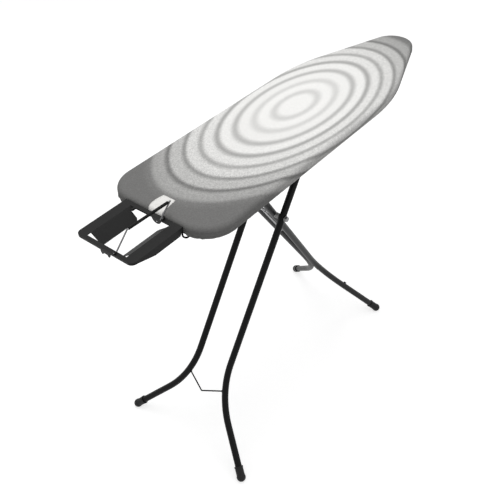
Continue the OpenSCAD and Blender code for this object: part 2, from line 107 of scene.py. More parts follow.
world = bpy.data.worlds.new("white_room")
scene.world = world
world.use_nodes = True
room_nodes, room_links = world.node_tree.nodes, world.node_tree.links
room_light = room_nodes["Background"]
room_light.inputs["Color"].default_value = (1, 1, 1, 1)
room_light.inputs["Strength"].default_value = 0.45
room_white = room_nodes.new("ShaderNodeBackground")
room_white.inputs["Color"].default_value = (1, 1, 1, 1)
room_white.inputs["Strength"].default_value = 1.0
room_mix = room_nodes.new("ShaderNodeMixShader")
room_links.new(seen_directly(room_nodes, room_links), room_mix.inputs["Fac"])
room_links.new(room_light.outputs[0], room_mix.inputs[1])
room_links.new(room_white.outputs[0], room_mix.inputs[2])
room_links.new(room_mix.outputs[0], room_nodes["World Output"].inputs["Surface"])

bpy.ops.mesh.primitive_plane_add(size=24, location=(0, 0, 0))
floor = bpy.context.active_object
floor.name = "floor"
floor_finish, floor_nodes, floor_links, floor_paint = surface("floor_white")
floor_paint.inputs["Base Color"].default_value = (0.6, 0.6, 0.6, 1)
floor_paint.inputs["Roughness"].default_value = 0.9
floor_paint.inputs["Emission Color"].default_value = (1, 1, 1, 1)
floor_lift = 0.68
floor_glow = calc(floor_nodes, floor_links, "MULTIPLY", seen_directly(floor_nodes, floor_links), floor_lift)
floor_links.new(floor_glow, floor_paint.inputs["Emission Strength"])
floor.data.materials.append(floor_finish)
bpy.ops.object.select_all(action="DESELECT")


# ---- cover: printed cotton pulled over the pad and round the rim ----
# One piece of woven cotton, cut to the board's shape with a turning all round, and drawn tight by a cord in
# its hem. It is printed with plain ovals that darken towards the edge, on a mid-grey ground.
cover_low, cover_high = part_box("cover")
blunt_x = cover_low.x
nose_x = cover_high.x
half_width = cover_high.y
top_z = cover_high.z
corner_radius = 0.089
nose_radius = 0.073
taper_start = blunt_x + 0.858
taper_radius = 0.610
point_step = 0.007


def grey(value):
    """A display grey from 0 to 255 as a linear colour, a little warm."""
    level = value / 255
    linear = level / 12.92 if level < 0.04045 else ((level + 0.055) / 1.055) ** 2.4
    return (linear, linear * 0.995, linear * 0.975, 1)


def taper_angle():
    """The angle of the tapered sides and the centre of the bend before them, fitted in rounds."""
    angle = radians(20)
    for _ in range(40):
        centre = Vector((taper_start - taper_radius * tan(angle / 2), half_width - taper_radius))
        reach = Vector((nose_x - nose_radius, 0)) - centre
        angle = asin((taper_radius - nose_radius) / reach.length) - atan2(reach.y, reach.x)
    return angle, centre


def line(start, end, facing):
    """Evenly spaced points of a straight edge, without its end, and the way that it faces."""
    steps = max(1, ceil((end - start).length / point_step))
    return [(start.lerp(end, i / steps), facing) for i in range(steps)]


def bend(centre, radius, first, last):
    """Evenly spaced points of a rounded edge, without its end, each with the way that it faces."""
    steps = max(4, ceil(abs(first - last) * max(radius, 0.05) / point_step))
    turns = [first + (last - first) * i / steps for i in range(steps)]
    return [(centre + radius * Vector((cos(t), sin(t))), Vector((cos(t), sin(t)))) for t in turns]


def board_edge():
    """Points round the top, anticlockwise from the nose, each with the direction that it faces."""
    angle, side_centre = taper_angle()
    slope = Vector((sin(angle), cos(angle)))
    nose = Vector((nose_x - nose_radius, 0))
    corner = Vector((blunt_x + corner_radius, half_width - corner_radius))
    up, back = Vector((0, 1)), Vector((-1, 0))
    half = bend(nose, nose_radius, 0, pi / 2 - angle)
    half += line(nose + nose_radius * slope, side_centre + taper_radius * slope, slope)
    half += bend(side_centre, taper_radius, pi / 2 - angle, pi / 2)
    half += line(side_centre + taper_radius * up, corner + corner_radius * up, up)
    half += bend(corner, corner_radius, pi / 2, pi)
    half += line(corner + corner_radius * back, Vector((blunt_x, 0)), back)
    mirrored = [(Vector((p.x, -p.y)), Vector((n.x, -n.y))) for p, n in reversed(half[1:])]
    return half + [(Vector((blunt_x, 0)), back)] + mirrored


edge = board_edge()
edge_count = len(edge)


def smooth(low, high, value):
    """0 at low, 1 at high, and a soft step between them."""
    t = min(1, max(0, (value - low) / (high - low)))
    return t * t * (3 - 2 * t)


# the cloth's section, as how far in from the edge and how far down: first the rolled casing of the hem, then
# the turning under the rim, the skirt with a faint crease where the pad ends, and the soft edge up to the top
round_over = 0.0135
seam_drop = 0.0156
crease_depth, crease_width = 0.0009, 0.0012
hem_radius = 0.0025
hem_drop = 0.0314
casing_inset = 0.0165
casing_radius = 0.0021
wall_steps = 16
wall_foot = hem_drop - hem_radius
wall = [wall_foot - (wall_foot - round_over) * i / wall_steps for i in range(1, wall_steps + 1)]
section = [(casing_inset + casing_radius * sin(a), hem_drop + casing_radius + casing_radius * cos(a))
           for a in (radians(45 * i) for i in range(-3, 4))]
section += [(casing_inset, hem_drop + 0.0002)] + [(inset, hem_drop) for inset in (0.012, 0.0060)]
section += [(hem_radius * (1 - sin(a)), hem_drop - hem_radius * (1 - cos(a)))
            for a in (radians(15 * i) for i in range(2, 7))]
section += [(crease_depth * exp(-((drop - seam_drop) / crease_width) ** 2), drop) for drop in wall]
section += [(round_over * (1 - cos(a)), round_over * (1 - sin(a)))
            for a in (radians(15 * i) for i in range(1, 7))]
rest_half = 0.104
lift_drop = 0.0215
lifted_inset = 0.0004
loops_outer, loops_inner = 0.138, 0.122
narrowed = 0.62
gather_depth = 0.0010
gather_top, gather_foot = 0.008, 0.028
straight_gather = 0.30
wide_gather, fine_gather = 0.023, 0.0137
spine_low, spine_high = blunt_x + 0.185, nose_x - 0.075
across = 22


def cloth_point(i, inset, drop):
    """A point of the cloth at edge point i, inset from the edge and below the top, with its small gathers."""
    place, facing = edge[i]
    curved = smooth(0.02, 0.5, 1 - abs(facing.y))
    gather = smooth(gather_top, gather_foot, drop) * (straight_gather + (1 - straight_gather) * curved)
    along = i * point_step
    wave = sin(along * 2 * pi / wide_gather + 1.9 * sin(along * 11))
    wave += 0.6 * sin(along * 2 * pi / fine_gather + 2.3 * sin(along * 7))
    wave *= gather_depth * gather * (0.75 + 0.25 * sin(along * 5.3))
    if facing.x < -0.75:
        # under the iron rest's wire loops the turning is narrow, and over the rest itself the hem is drawn up
        narrow = smooth(loops_outer, loops_inner, abs(place.y))
        if inset > 0.006 and drop > lift_drop:
            inset = inset * (1 - narrowed * narrow)
        at_rest = smooth(rest_half + 0.010, rest_half - 0.002, abs(place.y))
        if drop > lift_drop:
            inset = inset * (1 - at_rest) + lifted_inset * at_rest
            drop = drop * (1 - at_rest) + lift_drop * at_rest
        wave *= 1 - at_rest
    flat = place - facing * (inset + wave)
    return Vector((flat.x, flat.y, top_z - drop))


vertices, faces, cut = [], [], []
run = [0.0]
for (a_in, a_drop), (b_in, b_drop) in zip(section[:-1], section[1:]):
    run.append(run[-1] + hypot(b_in - a_in, b_drop - a_drop))
edge_inset = section[-1][0]
for (inset, drop), along in zip(section, run):
    for i, (place, facing) in enumerate(edge):
        vertices.append(cloth_point(i, inset, drop))
        cut.append(place - facing * edge_inset + facing * (run[-1] - along))
rings = len(section)
for s in range(1, across + 1):
    for i, (place, facing) in enumerate(edge):
        start = place - facing * edge_inset
        spine = Vector((min(max(start.x, spine_low), spine_high), 0))
        flat = start.lerp(spine, s / across)
        vertices.append(Vector((flat.x, flat.y, top_z)))
        cut.append(flat)
rings += across
for r in range(rings - 1):
    for i in range(edge_count):
        j = (i + 1) % edge_count
        low, high = r * edge_count, (r + 1) * edge_count
        faces.append((low + i, low + j, high + j, high + i))

cover_mesh = bpy.data.meshes.new("cover_cloth")
cover_mesh.from_pydata(vertices, [], faces)
cut_map = cover_mesh.uv_layers.new(name="cut")
for corner in cover_mesh.loops:
    cut_map.data[corner.index].uv = cut[corner.vertex_index]


def lay(name, mesh, merge=0):
    """The mesh as an active, selected, smooth object, with its faces turned outward."""
    laid = bpy.data.objects.new(name, mesh)
    scene.collection.objects.link(laid)
    bpy.context.view_layer.objects.active = laid
    laid.select_set(True)
    bpy.ops.object.mode_set(mode="EDIT")
    bpy.ops.mesh.select_all(action="SELECT")
    if merge:
        bpy.ops.mesh.remove_doubles(threshold=merge)
    bpy.ops.mesh.normals_make_consistent(inside=False)
    bpy.ops.object.mode_set(mode="OBJECT")
    bpy.ops.object.shade_smooth()
    return laid


def thicken(piece, thickness, offset):
    """Gives the active sheet its thickness, inward for -1 and outward for 1."""
    solid = piece.modifiers.new("thickness", "SOLIDIFY")
    solid.thickness = thickness
    solid.offset = offset
    bpy.ops.object.modifier_apply(modifier="thickness")
    piece.select_set(False)


cotton_thickness = 0.0009
cover = lay("cover_cloth", cover_mesh, merge=0.0004)
thicken(cover, cotton_thickness, offset=-1)

ring_centre = (blunt_x + 0.6317, 0.020)
ring_width = 0.515
ring_turn = 0.0295
ring_lead = 0.0273
ring_reach = 0.62
# each printed line: its radius along the board, half its width, the cloth's grey inside it, and its own grey
ring_lines = (
    (0.0940, 0.032, 246, 216), (0.1760, 0.030, 246, 218), (0.2540, 0.026, 243, 191), (0.3245, 0.023, 240, 172),
    (0.3885, 0.020, 227, 173), (0.4500, 0.017, 216, 150), (0.5115, 0.016, 191, 124),
)
middle_grey = 246
outer_greys = ((0.530, 169), (0.556, 165), (0.580, 124), (0.604, 118))
ink_creep = 0.010
# how strongly the dotted ground of the print shows at each radius: most in the outer bands
dot_strengths = ((0.24, 0.12), (0.42, 0.58), (0.54, 0.58), (0.61, 0.28))
mean_dot = 0.42


def texture(nodes, links, kind, place, **settings):
    """A texture node that is read at the given coordinates."""
    made = nodes.new("ShaderNodeTex" + kind)
    for setting, value in settings.items():
        made.inputs[setting].default_value = value
    links.new(place, made.inputs["Vector"])
    return made


def graded(nodes, links, source, stops):
    """The colour for the source's value; the stops are values, in rising order, each with its colour."""
    made = nodes.new("ShaderNodeValToRGB")
    ramp = made.color_ramp.elements
    (ramp[0].position, ramp[0].color), (ramp[1].position, ramp[1].color) = stops[0], stops[-1]
    for position, color in stops[1:-1]:
        ramp.new(position).color = color
    links.new(source, made.inputs["Fac"])
    return made


def two_tone(nodes, links, source, shade, dark, light, low=0, high=1):
    """Base colour from dark to light, as the source's value runs from low to high."""
    tint = graded(nodes, links, source, [(low, (*dark, 1)), (high, (*light, 1))])
    links.new(tint.outputs["Color"], shade.inputs["Base Color"])


def uneven_gloss(nodes, links, source, shade, low, high):
    """Roughness between low and high, as the source's value runs from 0 to 1."""
    gloss = nodes.new("ShaderNodeMapRange")
    gloss.inputs["To Min"].default_value = low
    gloss.inputs["To Max"].default_value = high
    links.new(source, gloss.inputs["Value"])
    links.new(gloss.outputs["Result"], shade.inputs["Roughness"])


def relief(nodes, links, height, strength, distance, under=None):
    """The normal of small bumps, laid over another normal where one is given."""
    bumps = nodes.new("ShaderNodeBump")
    bumps.inputs["Strength"].default_value = strength
    bumps.inputs["Distance"].default_value = distance
    links.new(height, bumps.inputs["Height"])
    if under is not None:
        links.new(under, bumps.inputs["Normal"])
    return bumps.outputs["Normal"]


def printed_cotton():
    cotton, nodes, links, shade = surface("printed_cotton")
    shade.inputs["Roughness"].default_value = 0.92
    shade.inputs["Specular IOR Level"].default_value = 0.15
    shade.inputs["Sheen Weight"].default_value = 0.05
    shade.inputs["Sheen Roughness"].default_value = 0.5

    # distance from the middle of the print, in the print's own turned and narrowed ovals
    cut_place = nodes.new("ShaderNodeUVMap")
    cut_place.uv_map = "cut"
    place = cut_place.outputs["UV"]
    oval = nodes.new("ShaderNodeMapping")
    oval.vector_type = "TEXTURE"
    oval.inputs["Location"].default_value = (*ring_centre, 0)
    oval.inputs["Rotation"].default_value = (0, 0, ring_turn)
    oval.inputs["Scale"].default_value = (1, ring_width, 1)
    links.new(place, oval.inputs["Vector"])
    parts = nodes.new("ShaderNodeSeparateXYZ")
    links.new(oval.outputs["Vector"], parts.inputs[0])
    square = calc(nodes, links, "MULTIPLY", parts.outputs["X"], parts.outputs["X"])
    rejoined = nodes.new("ShaderNodeCombineXYZ")
    links.new(calc(nodes, links, "MULTIPLY_ADD", square, -ring_lead, parts.outputs["X"]), rejoined.inputs["X"])
    links.new(parts.outputs["Y"], rejoined.inputs["Y"])
    length = nodes.new("ShaderNodeVectorMath")
    length.operation = "LENGTH"
    links.new(rejoined.outputs[0], length.inputs[0])
    radius = length.outputs["Value"]

    # the ink creeps a little unevenly into the cloth
    creep = texture(nodes, links, "Noise", place, Scale=190, Detail=3)
    crept = calc(nodes, links, "MULTIPLY_ADD", creep.outputs["Fac"], ink_creep, radius)
    share = calc(nodes, links, "MULTIPLY_ADD", crept, 1 / ring_reach, -ink_creep / 2 / ring_reach)

    stops = [(0.0, middle_grey)]
    for reach, half, inside, line_grey in ring_lines:
        stops += [(reach - half, inside), (reach, line_grey)]
        outside = next((g for r, h, g, _ in ring_lines if r > reach), None)
        if outside and reach + half < next(r - h for r, h, _, _ in ring_lines if r > reach):
            stops.append((reach + half, outside))
    stops += outer_greys
    tone = graded(nodes, links, share, [(reach / ring_reach, grey(level)) for reach, level in stops])
    tone.color_ramp.interpolation = "EASE"

    dots = texture(nodes, links, "Voronoi", place, Scale=230, Randomness=0.7)
    strengths = graded(nodes, links, radius, [(reach, (s, s, s, 1)) for reach, s in dot_strengths])
    centred = calc(nodes, links, "SUBTRACT", dots.outputs["Distance"], mean_dot)
    depth = calc(nodes, links, "MULTIPLY", centred, strengths.outputs["Color"])
    spread = nodes.new("ShaderNodeMix")
    spread.data_type = "RGBA"
    spread.blend_type = "MULTIPLY"
    spread.inputs["Factor"].default_value = 1
    links.new(tone.outputs["Color"], spread.inputs["A"])
    links.new(calc(nodes, links, "ADD", depth, 1), spread.inputs["B"])
    links.new(spread.outputs["Result"], shade.inputs["Base Color"])

    # the weave of the two sets of threads, over soft creases
    threads = []
    for direction in ("X", "Y"):
        thread = texture(nodes, links, "Wave", place, Scale=420, Distortion=0.6)
        thread.bands_direction = direction
        threads.append(thread.outputs["Fac"])
    creases = texture(nodes, links, "Noise", place, Scale=14, Detail=4)
    soft = relief(nodes, links, creases.outputs["Fac"], strength=0.25, distance=0.004)
    weave = calc(nodes, links, "MULTIPLY", *threads)
    woven = relief(nodes, links, weave, strength=0.3, distance=0.0003, under=soft)
    links.new(woven, shade.inputs["Normal"])
    return cotton


cover.data.materials.append(printed_cotton())
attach(cover, "board")
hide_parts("cover")


# ---- stitching and the bare patch on the cover ----
# A row of lockstitch in grey thread runs round the skirt and closes the hem. A plain white ribbon patch is sewn
# on at the blunt end, over the edge, with a row of stitches in white thread inside its border.
def sew(name, stitches, thickness, roundness=1):
    """Rounded lengths of thread or wire, each given by the points that it runs through."""
    curve = bpy.data.curves.new(name, "CURVE")
    curve.dimensions = "3D"
    curve.bevel_depth = thickness / 2
    curve.bevel_resolution = roundness
    curve.use_fill_caps = True
    for points in stitches:
        spline = curve.splines.new("POLY")
        spline.points.add(len(points) - 1)
        for knot, point in zip(spline.points, points):
            knot.co = (*point, 1)
    laid = bpy.data.objects.new(name, curve)
    scene.collection.objects.link(laid)
    bpy.context.view_layer.objects.active = laid
    laid.select_set(True)
    bpy.ops.object.convert(target="MESH")
    sewn = bpy.context.active_object
    bpy.ops.object.shade_smooth()
    sewn.select_set(False)
    return sewn


def scaled(colour, share):
    """The colour with each of its parts multiplied by the share."""
    return tuple(c * share for c in colour)


def sewing_thread(name, colour):
    thread, nodes, links, shade = surface(name)
    shade.inputs["Roughness"].default_value = 0.6
    place = nodes.new("ShaderNodeTexCoord").outputs["Object"]
    twist = texture(nodes, links, "Wave", place, Scale=700)
    twist.bands_direction = "DIAGONAL"
    two_tone(nodes, links, twist.outputs["Fac"], shade, scaled(colour, 0.7), colour)
    return thread


stitch_pitch, stitch_length = 0.0048, 0.0034
stitch_drop = 0.0235
stitch_rise = 0.00015
seam_gap = 0.014
hem_stitches = []
walk = 0.0
for i in range(edge_count):
    here, there = (cloth_point(k % edge_count, 0, stitch_drop) for k in (i, i + 1))
    facing = edge[i][1]
    if facing.x < -0.9 and abs(edge[i][0].y) < rest_half + seam_gap:
        continue
    step = (there - here).length
    if not 0.001 <= step <= 0.02:
        continue
    out = Vector((facing.x, facing.y, 0)) * stitch_rise
    while walk < step:
        start = here.lerp(there, walk / step)
        end = here.lerp(there, (walk + stitch_length) / step)
        middle = (start + end) / 2 + 2 * out
        hem_stitches.append((start - out, start + out, middle, end + out, end - out))
        walk += stitch_pitch
    walk -= step
hem_thread = sew("hem_thread", hem_stitches, thickness=0.0005)
hem_thread.data.materials.append(sewing_thread("grey_thread", (0.12, 0.12, 0.118)))
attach(hem_thread, "board")

patch_back = 0.062
patch_over = 0.0085
patch_lift = 0.0003
# its near edge swings outward and its far edge bows, from the inner end to the blunt end
near_edge, near_swing = -0.0175, 0.0095
far_edge, far_bow = 0.0245, 0.0045


def patch_point(along, side):
    """along runs from the patch's inner end over the edge and down the skirt; side from -1, near, to 1, far."""
    share = min(1, along / patch_back)
    near = near_edge - near_swing * share
    far = far_edge + far_bow * sin(pi * share) - far_bow * share ** 4
    y = near + (far - near) * (side + 1) / 2
    flat_run = patch_back - round_over
    turn_run = round_over * pi / 2
    if along <= flat_run:
        x, z = patch_back - along, patch_lift
    elif along <= flat_run + turn_run:
        a = (along - flat_run) / round_over
        x = round_over - (round_over + patch_lift) * sin(a)
        z = -round_over + (round_over + patch_lift) * cos(a)
    else:
        x, z = -patch_lift, -round_over - (along - flat_run - turn_run)
    return Vector((blunt_x + x, y, top_z + z))


patch_length = patch_back - round_over + round_over * pi / 2 + patch_over - round_over
patch_rows, patch_columns = 36, 14
patch_grid = [patch_point(patch_length * r / patch_rows, 2 * c / patch_columns - 1)
              for r in range(patch_rows + 1) for c in range(patch_columns + 1)]
in_row = patch_columns + 1
patch_faces = [(k, k + 1, k + in_row + 1, k + in_row)
               for r in range(patch_rows) for k in range(r * in_row, r * in_row + patch_columns)]
patch_mesh = bpy.data.meshes.new("bare_patch")
patch_mesh.from_pydata(patch_grid, [], patch_faces)
patch = lay("bare_patch", patch_mesh)
if patch_mesh.polygons[0].normal.z < 0:
    patch_mesh.flip_normals()
ribbon_thickness = 0.0004
thicken(patch, ribbon_thickness, offset=1)


def white_ribbon():
    ribbon, nodes, links, shade = surface("white_ribbon")
    shade.inputs["Roughness"].default_value = 0.55
    shade.inputs["Specular IOR Level"].default_value = 0.3
    place = nodes.new("ShaderNodeTexCoord").outputs["Object"]
    warp = texture(nodes, links, "Noise", place, Scale=300)
    two_tone(nodes, links, warp.outputs["Fac"], shade, (0.80, 0.79, 0.76), (0.90, 0.89, 0.87), low=0.3, high=0.6)
    rib = texture(nodes, links, "Wave", place, Scale=520, Distortion=0.4)
    rib.bands_direction = "Y"
    links.new(relief(nodes, links, rib.outputs["Fac"], strength=0.3, distance=0.0002), shade.inputs["Normal"])
    return ribbon


patch.data.materials.append(white_ribbon())
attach(patch, "board")

patch_pitch = 0.0026
patch_start = 0.0016
thread_lift = Vector((0, 0, 0.00055))
patch_stitches = []
for side in (-0.93, 0.93):
    for k in range(int((patch_length - 0.003) / patch_pitch)):
        start = patch_start + patch_pitch * k
        patch_stitches.append([patch_point(start + d, side) + thread_lift for d in (0, 0.0009, 0.0018)])
for k in range(14):
    side = 0.1325 * k - 0.92
    patch_stitches.append([patch_point(patch_start, side + d) + thread_lift for d in (0, 0.04, 0.08)])
patch_thread = sew("patch_thread", patch_stitches, thickness=0.0004)
patch_thread.data.materials.append(sewing_thread("white_thread", (0.72, 0.71, 0.69)))
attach(patch_thread, "board")


# ---- pad: needled felt under the cover ----
# A sheet of off-white needled felt, 5 mm thick, cut to the board and held down by the cover. It is soft, so its
# edge is rounded and its faces are a little uneven between the holes of the panel.
pad_low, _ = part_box("pad")
felt_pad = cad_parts["pad"].copy()
felt_pad.data = felt_pad.data.copy()
felt_pad.name = "felt_pad"
felt_pad.data.name = "felt_pad"
for key in list(felt_pad.keys()):
    del felt_pad[key]
scene.collection.objects.link(felt_pad)
bpy.context.view_layer.objects.active = felt_pad
felt_pad.select_set(True)
felt_remesh = felt_pad.modifiers.new("felt", "REMESH")
felt_remesh.mode = "VOXEL"
felt_remesh.voxel_size = 0.0045
bpy.ops.object.modifier_apply(modifier="felt")
board_rim = kdtree.KDTree(edge_count)
for i, (place, facing) in enumerate(edge):
    board_rim.insert((place.x, place.y, 0), i)
board_rim.balance()
cloth_above, cloth_beside = 0.0011, 0.0014
felt_swell = 0.0012


def under_cover(point):
    """The height that the underside of the cloth has over a point of the pad."""
    _, i, _ = board_rim.find((point.x, point.y, 0))
    place, facing = edge[i]
    inset = (place - point.xy).dot(facing)
    if inset > round_over:
        return top_z - cloth_above
    return top_z - round_over + (round_over ** 2 - (round_over - max(inset, 0)) ** 2) ** 0.5 - cloth_beside


before = [point.co.copy() for point in felt_pad.data.vertices]
felt_cloth = felt_pad.modifiers.new("swelling", "CLOTH")
felt_cloth.settings.quality = 4
felt_cloth.settings.mass = 0.15
felt_cloth.settings.tension_stiffness = 12
felt_cloth.settings.compression_stiffness = 12
felt_cloth.settings.bending_stiffness = 0.4
felt_cloth.settings.use_pressure = True
felt_cloth.settings.uniform_pressure_force = 4
felt_cloth.settings.effector_weights.gravity = 0
last_frame = 12
for frame_number in range(1, last_frame + 1):
    scene.frame_set(frame_number)
bpy.ops.object.modifier_apply(modifier="swelling")
scene.frame_set(1)
for point, rest in zip(felt_pad.data.vertices, before):
    moved = point.co - rest
    if moved.length > felt_swell:
        moved = moved.normalized() * felt_swell
    point.co = rest + moved
for point in felt_pad.data.vertices:
    point.co.z = min(max(point.co.z, pad_low.z + 0.0001), under_cover(point.co))
bpy.ops.object.shade_smooth()
felt_pad.select_set(False)


def needled_felt():
    felt, nodes, links, shade = surface("needled_felt")
    shade.inputs["Roughness"].default_value = 0.95
    shade.inputs["Specular IOR Level"].default_value = 0.1
    shade.inputs["Sheen Weight"].default_value = 0.2
    place = nodes.new("ShaderNodeTexCoord").outputs["Object"]
    fibres = texture(nodes, links, "Noise", place, Scale=240, Detail=8, Distortion=1.5).outputs["Fac"]
    two_tone(nodes, links, fibres, shade, (0.52, 0.50, 0.45), (0.74, 0.72, 0.67), low=0.35, high=0.65)
    links.new(relief(nodes, links, fibres, strength=0.6, distance=0.0008), shade.inputs["Normal"])
    return felt


felt_pad.data.materials.clear()
felt_pad.data.materials.append(needled_felt())
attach(felt_pad, "board")
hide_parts("pad")


# ---- rim, panel and cross bars under the cover ----
# The frame is folded and spot-welded sheet steel: a rim with a turned-in lip, a pierced panel, four channels
# across it, and the two slotted rails. All of it has one coat of black powder, the panel of grey.
def powder_coat(name, colour, roughness, shine):
    coat, nodes, links, shade = surface(name)
    shade.inputs["Specular IOR Level"].default_value = shine
    place = nodes.new("ShaderNodeTexCoord").outputs["Object"]
    cloud = texture(nodes, links, "Noise", place, Scale=35, Detail=6).outputs["Fac"]
    two_tone(nodes, links, cloud, shade, scaled(colour, 0.85), scaled(colour, 1.2), low=0.3, high=0.75)
    uneven_gloss(nodes, links, cloud, shade, low=roughness - 0.06, high=roughness + 0.08)
    peel = texture(nodes, links, "Noise", place, Scale=900).outputs["Fac"]
    links.new(relief(nodes, links, peel, strength=0.12, distance=0.0002), shade.inputs["Normal"])
    return coat


def finish_nodes(names, material):
    """Gives the untouched pieces their material."""
    for name in names:
        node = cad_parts[name]
        node.data.materials.clear()
        node.data.materials.append(material)


black_coat = powder_coat("black_powder_coat", (0.006, 0.006, 0.0062), roughness=0.50, shine=0.08)
finish_nodes(["edge_rim", "bar_rear", "bar_pivot", "bar_slide_rear", "bar_slide_front", "pivot_bracket",
              "rail_left", "rail_right", "lever_bracket"], black_coat)
finish_nodes(["top_panel"], powder_coat("grey_panel_coat", (0.085, 0.085, 0.088), roughness=0.4, shine=0.3))


# ---- rivets, pins and axles: bright zinc ----
# Turned steel with a bright zinc finish, paler and smoother than the coat, with faint turning marks. Rivets are
# headed over the sheet, and the pins and axles run through the tubes. The bail's wire and the screws are greyer.
def zinc(name, tone, roughness):
    plating, nodes, links, shade = surface(name)
    shade.inputs["Metallic"].default_value = 1
    place = nodes.new("ShaderNodeTexCoord").outputs["Object"]
    cloud = texture(nodes, links, "Noise", place, Scale=60, Detail=8).outputs["Fac"]
    dark, light = (tone * 0.72, tone * 0.72, tone * 0.74), (tone, tone, tone * 1.01)
    two_tone(nodes, links, cloud, shade, dark, light, low=0.3, high=0.7)
    uneven_gloss(nodes, links, cloud, shade, low=roughness - 0.08, high=roughness + 0.12)
    lines = texture(nodes, links, "Noise", place, Scale=1500).outputs["Fac"]
    links.new(relief(nodes, links, lines, strength=0.08, distance=0.0001), shade.inputs["Normal"])
    return plating


bright_zinc = zinc("bright_zinc", tone=0.52, roughness=0.3)
grey_zinc = zinc("grey_zinc_wire", tone=0.20, roughness=0.42)
finish_nodes(["rail_rivets", "lever_pin", "outer_axle", "inner_axle", "stay_wire", "crossing_pin"], bright_zinc)
finish_nodes(["rest_screws", "bail_wire"], grey_zinc)
finish_nodes(["crossing_caps"], zinc("dull_zinc", tone=0.3, roughness=0.45))


# ---- outer and inner legs: bent steel tube ----
# Two pairs of 22 mm steel tubes, bent outward towards the feet, with a bent wire brace welded between the tubes
# of each pair. The outer pair is black and the inner pair dark grey, both satin.
outer_coat = powder_coat("outer_leg_coat", (0.006, 0.006, 0.0063), roughness=0.36, shine=0.12)
brace_coat = powder_coat("brace_coat", (0.006, 0.006, 0.0062), roughness=0.6, shine=0.02)
inner_coat = powder_coat("inner_leg_coat", (0.030, 0.030, 0.031), roughness=0.40, shine=0.2)
finish_nodes(["outer_tube_left", "outer_tube_right"], outer_coat)
finish_nodes(["outer_brace"], brace_coat)
finish_nodes(["inner_tube_left", "inner_tube_right", "inner_brace"], inner_coat)


# ---- moulded plastic: feet, end caps, grip, stud, rollers and spacers ----
# The black pieces are matt polypropylene, pushed over or into the ends that they close. The rollers on the
# sliding axle and the spacers at the crossing are pale acetal. All have the fine grain of the mould.
def moulded(name, colour, roughness, shine):
    plastic, nodes, links, shade = surface(name)
    shade.inputs["Specular IOR Level"].default_value = shine
    place = nodes.new("ShaderNodeTexCoord").outputs["Object"]
    cloud = texture(nodes, links, "Noise", place, Scale=90, Detail=4).outputs["Fac"]
    two_tone(nodes, links, cloud, shade, scaled(colour, 0.8), scaled(colour, 1.2))
    uneven_gloss(nodes, links, cloud, shade, low=roughness - 0.08, high=roughness + 0.08)
    grain = texture(nodes, links, "Voronoi", place, Scale=1400).outputs["Distance"]
    links.new(relief(nodes, links, grain, strength=0.15, distance=0.0002), shade.inputs["Normal"])
    return plastic


black_plastic = moulded("black_polypropylene", (0.009, 0.009, 0.0095), roughness=0.5, shine=0.25)
pale_plastic = moulded("pale_acetal", (0.42, 0.42, 0.415), roughness=0.45, shine=0.4)
finish_nodes(["outer_foot_left", "outer_foot_right", "inner_foot_left", "inner_foot_right", "lever_grip",
              "inner_axle_caps", "rest_clip", "rest_tab"], black_plastic)
finish_nodes(["rail_rollers", "crossing_spacers"], pale_plastic)
finish_nodes(["bail_sleeve"], moulded("black_silicone", (0.006, 0.006, 0.006), roughness=0.6, shine=0.12))


# ---- iron rest: pressed sheet steel ----
# One pressed frame with its rim turned down and two sloping wings between its sides, carried by two brackets that
# are screwed under the board's rim. The frame, the wings and the bail's lugs have one coat of satin black.
rest_coat = powder_coat("rest_coat", (0.0125, 0.0125, 0.0125), roughness=0.5, shine=0.14)
finish_nodes(["rest_frame", "rest_wing_left", "rest_wing_right", "bail_lugs"], rest_coat)
finish_nodes(["rest_brackets", "release_lever"], black_coat)


# ---- wire loops beside the rest, and the stud on the near inner leg ----
# A loop of thick black wire is welded under each rear corner of the rest, its free end against the rim. The
# stud is a push-in button of black plastic in a hole on the upper side of the tube.
def from_board(x, y, z):
    """A place in the frame, from millimetres measured from the board's blunt end and from the floor."""
    return Vector((x / 1000 + blunt_x, y / 1000, z / 1000))


loop_radius = 8.3
loop_x, loop_y, loop_z = 2.1, 102.8, 930.5
rest_shift = -3
stem_height, stem_step = 26.2, 4
half_turn = [pi * k / 20 for k in range(21)]
loops = []
for side in (1, -1):
    middle = Vector((loop_x, rest_shift + side * loop_y, loop_z))
    outward = Vector((0.7071, side * 0.7071, 0))
    sweep = [middle + loop_radius * (outward * -cos(a) + Vector((0, 0, -sin(a)))) for a in half_turn]
    stem = [sweep[0] + Vector((0, 0, stem_height - stem_step * k)) for k in range(7)]
    loops.append([from_board(*point) for point in stem + sweep])
wire_loops = sew("wire_loops", loops, thickness=0.0048, roundness=4)
wire_loops.data.materials.append(brace_coat)
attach(wire_loops, "board")
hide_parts("rest_hooks")


def on_leg(pivot, tilt):
    """The matrix of a leg: up its tube is +Z, and its origin is on the pivot's axle."""
    return Matrix.Translation(pivot) @ Matrix.Rotation(radians(tilt), 4, "Y")


def pick_top(piece):
    """Leaves the active piece in edit mode, with only its upward faces picked."""
    bpy.ops.object.mode_set(mode="EDIT")
    bpy.ops.mesh.select_mode(type="FACE")
    bpy.ops.object.mode_set(mode="OBJECT")
    for face in piece.data.polygons:
        face.select = face.normal.z > 0.9
    bpy.ops.object.mode_set(mode="EDIT")


def draw_up(*steps):
    """Draws the picked faces up in steps, each a rise and the share of the width that is left."""
    for rise, shrink in steps:
        bpy.ops.mesh.extrude_region_move(TRANSFORM_OT_translate={"value": (0, 0, rise)})
        bpy.ops.transform.resize(value=(shrink, shrink, 1))


